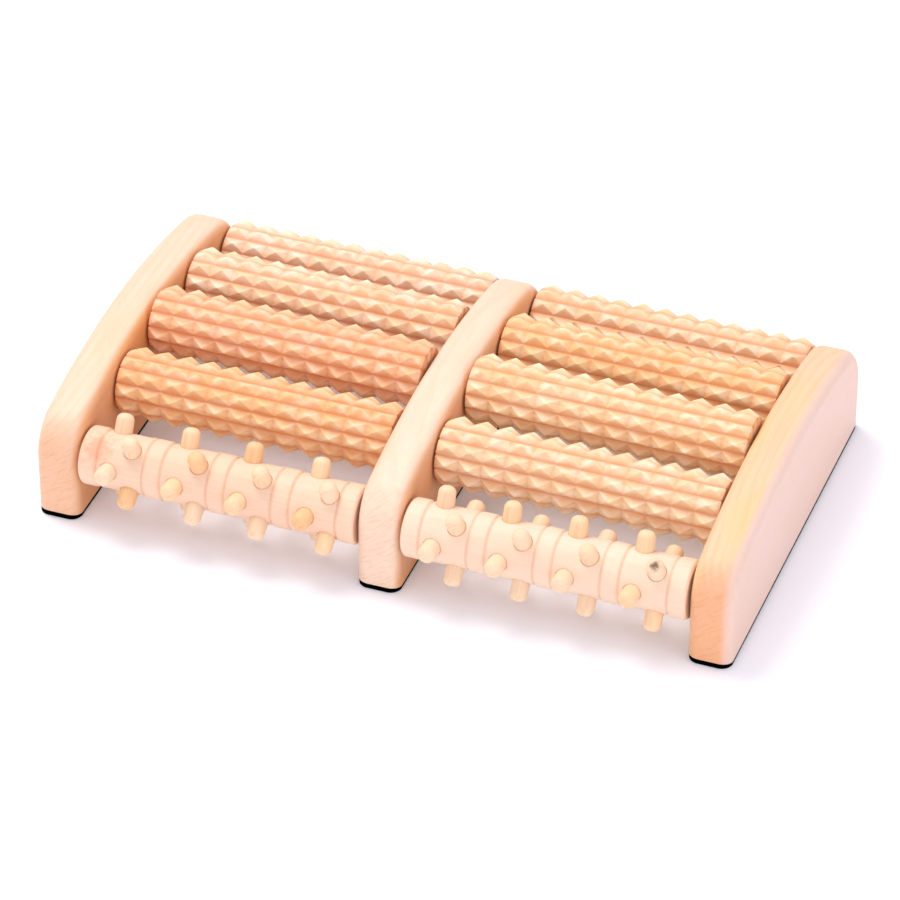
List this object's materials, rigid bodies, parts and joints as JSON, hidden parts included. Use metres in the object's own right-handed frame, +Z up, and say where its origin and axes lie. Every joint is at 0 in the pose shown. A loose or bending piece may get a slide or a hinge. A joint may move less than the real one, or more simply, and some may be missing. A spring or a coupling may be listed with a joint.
{
  "type": "foot massage roller",
  "caption": "Wooden foot massager for both feet: rails on rubber strips carry free-turning rollers on steel axles, knob rollers in front and ridged rollers behind.",
  "frame": {"origin": "on the floor plane, in the middle of the centre rail's footprint", "axes": "+X to the right along the axles, +Y to the rear, +Z up; the knob rollers are at the front, -Y"},
  "size_m": [0.277, 0.1743, 0.0555],
  "materials": {
    "rail_wood": "fine sanded pale hardwood with a thin clear oil",
    "ridge_wood": "turned and grooved warm tan wood, satin",
    "knob_wood": "turned pale wood, satin",
    "peg_wood": "turned domed dowels, satin",
    "rubber_strip": "matte black",
    "steel_axle": "drawn steel rod"
  },
  "bodies": {
    "base": {"left_rail": "rail_wood", "centre_rail": "rail_wood", "right_rail": "rail_wood", "left_foot_strip": "rubber_strip", "centre_foot_strip": "rubber_strip", "right_foot_strip": "rubber_strip", "axle_1": "steel_axle", "axle_2": "steel_axle", "axle_3": "steel_axle", "axle_4": "steel_axle", "axle_5": "steel_axle"},
    "left_knob": {"left_knob_roller": "knob_wood", "left_pegs_1": "peg_wood", "left_pegs_2": "peg_wood", "left_pegs_3": "peg_wood", "left_pegs_4": "peg_wood"},
    "left_ridge_1": {"left_ridge_roller_1": "ridge_wood"},
    "left_ridge_2": {"left_ridge_roller_2": "ridge_wood"},
    "left_ridge_3": {"left_ridge_roller_3": "ridge_wood"},
    "left_ridge_4": {"left_ridge_roller_4": "ridge_wood"},
    "right_knob": {"right_knob_roller": "knob_wood", "right_pegs_1": "peg_wood", "right_pegs_2": "peg_wood", "right_pegs_3": "peg_wood", "right_pegs_4": "peg_wood"},
    "right_ridge_1": {"right_ridge_roller_1": "ridge_wood"},
    "right_ridge_2": {"right_ridge_roller_2": "ridge_wood"},
    "right_ridge_3": {"right_ridge_roller_3": "ridge_wood"},
    "right_ridge_4": {"right_ridge_roller_4": "ridge_wood"}
  },
  "joints": [
    {"name": "left_knob_spin", "type": "hinge", "parent": "base", "child": "left_knob", "pos_m": [-0.065, -0.07125, 0.02525], "axis": [1, 0, 0], "continuous": true},
    {"name": "left_ridge_1_spin", "type": "hinge", "parent": "base", "child": "left_ridge_1", "pos_m": [-0.065, -0.034, 0.0345], "axis": [1, 0, 0], "continuous": true},
    {"name": "left_ridge_2_spin", "type": "hinge", "parent": "base", "child": "left_ridge_2", "pos_m": [-0.065, -0.001, 0.0415], "axis": [1, 0, 0], "continuous": true},
    {"name": "left_ridge_3_spin", "type": "hinge", "parent": "base", "child": "left_ridge_3", "pos_m": [-0.065, 0.0355, 0.036], "axis": [1, 0, 0], "continuous": true},
    {"name": "left_ridge_4_spin", "type": "hinge", "parent": "base", "child": "left_ridge_4", "pos_m": [-0.065, 0.0705, 0.0265], "axis": [1, 0, 0], "continuous": true},
    {"name": "right_knob_spin", "type": "hinge", "parent": "base", "child": "right_knob", "pos_m": [0.065, -0.07125, 0.02525], "axis": [1, 0, 0], "continuous": true},
    {"name": "right_ridge_1_spin", "type": "hinge", "parent": "base", "child": "right_ridge_1", "pos_m": [0.065, -0.034, 0.0345], "axis": [1, 0, 0], "continuous": true},
    {"name": "right_ridge_2_spin", "type": "hinge", "parent": "base", "child": "right_ridge_2", "pos_m": [0.065, -0.001, 0.0415], "axis": [1, 0, 0], "continuous": true},
    {"name": "right_ridge_3_spin", "type": "hinge", "parent": "base", "child": "right_ridge_3", "pos_m": [0.065, 0.0355, 0.036], "axis": [1, 0, 0], "continuous": true},
    {"name": "right_ridge_4_spin", "type": "hinge", "parent": "base", "child": "right_ridge_4", "pos_m": [0.065, 0.0705, 0.0265], "axis": [1, 0, 0], "continuous": true}
  ]
}
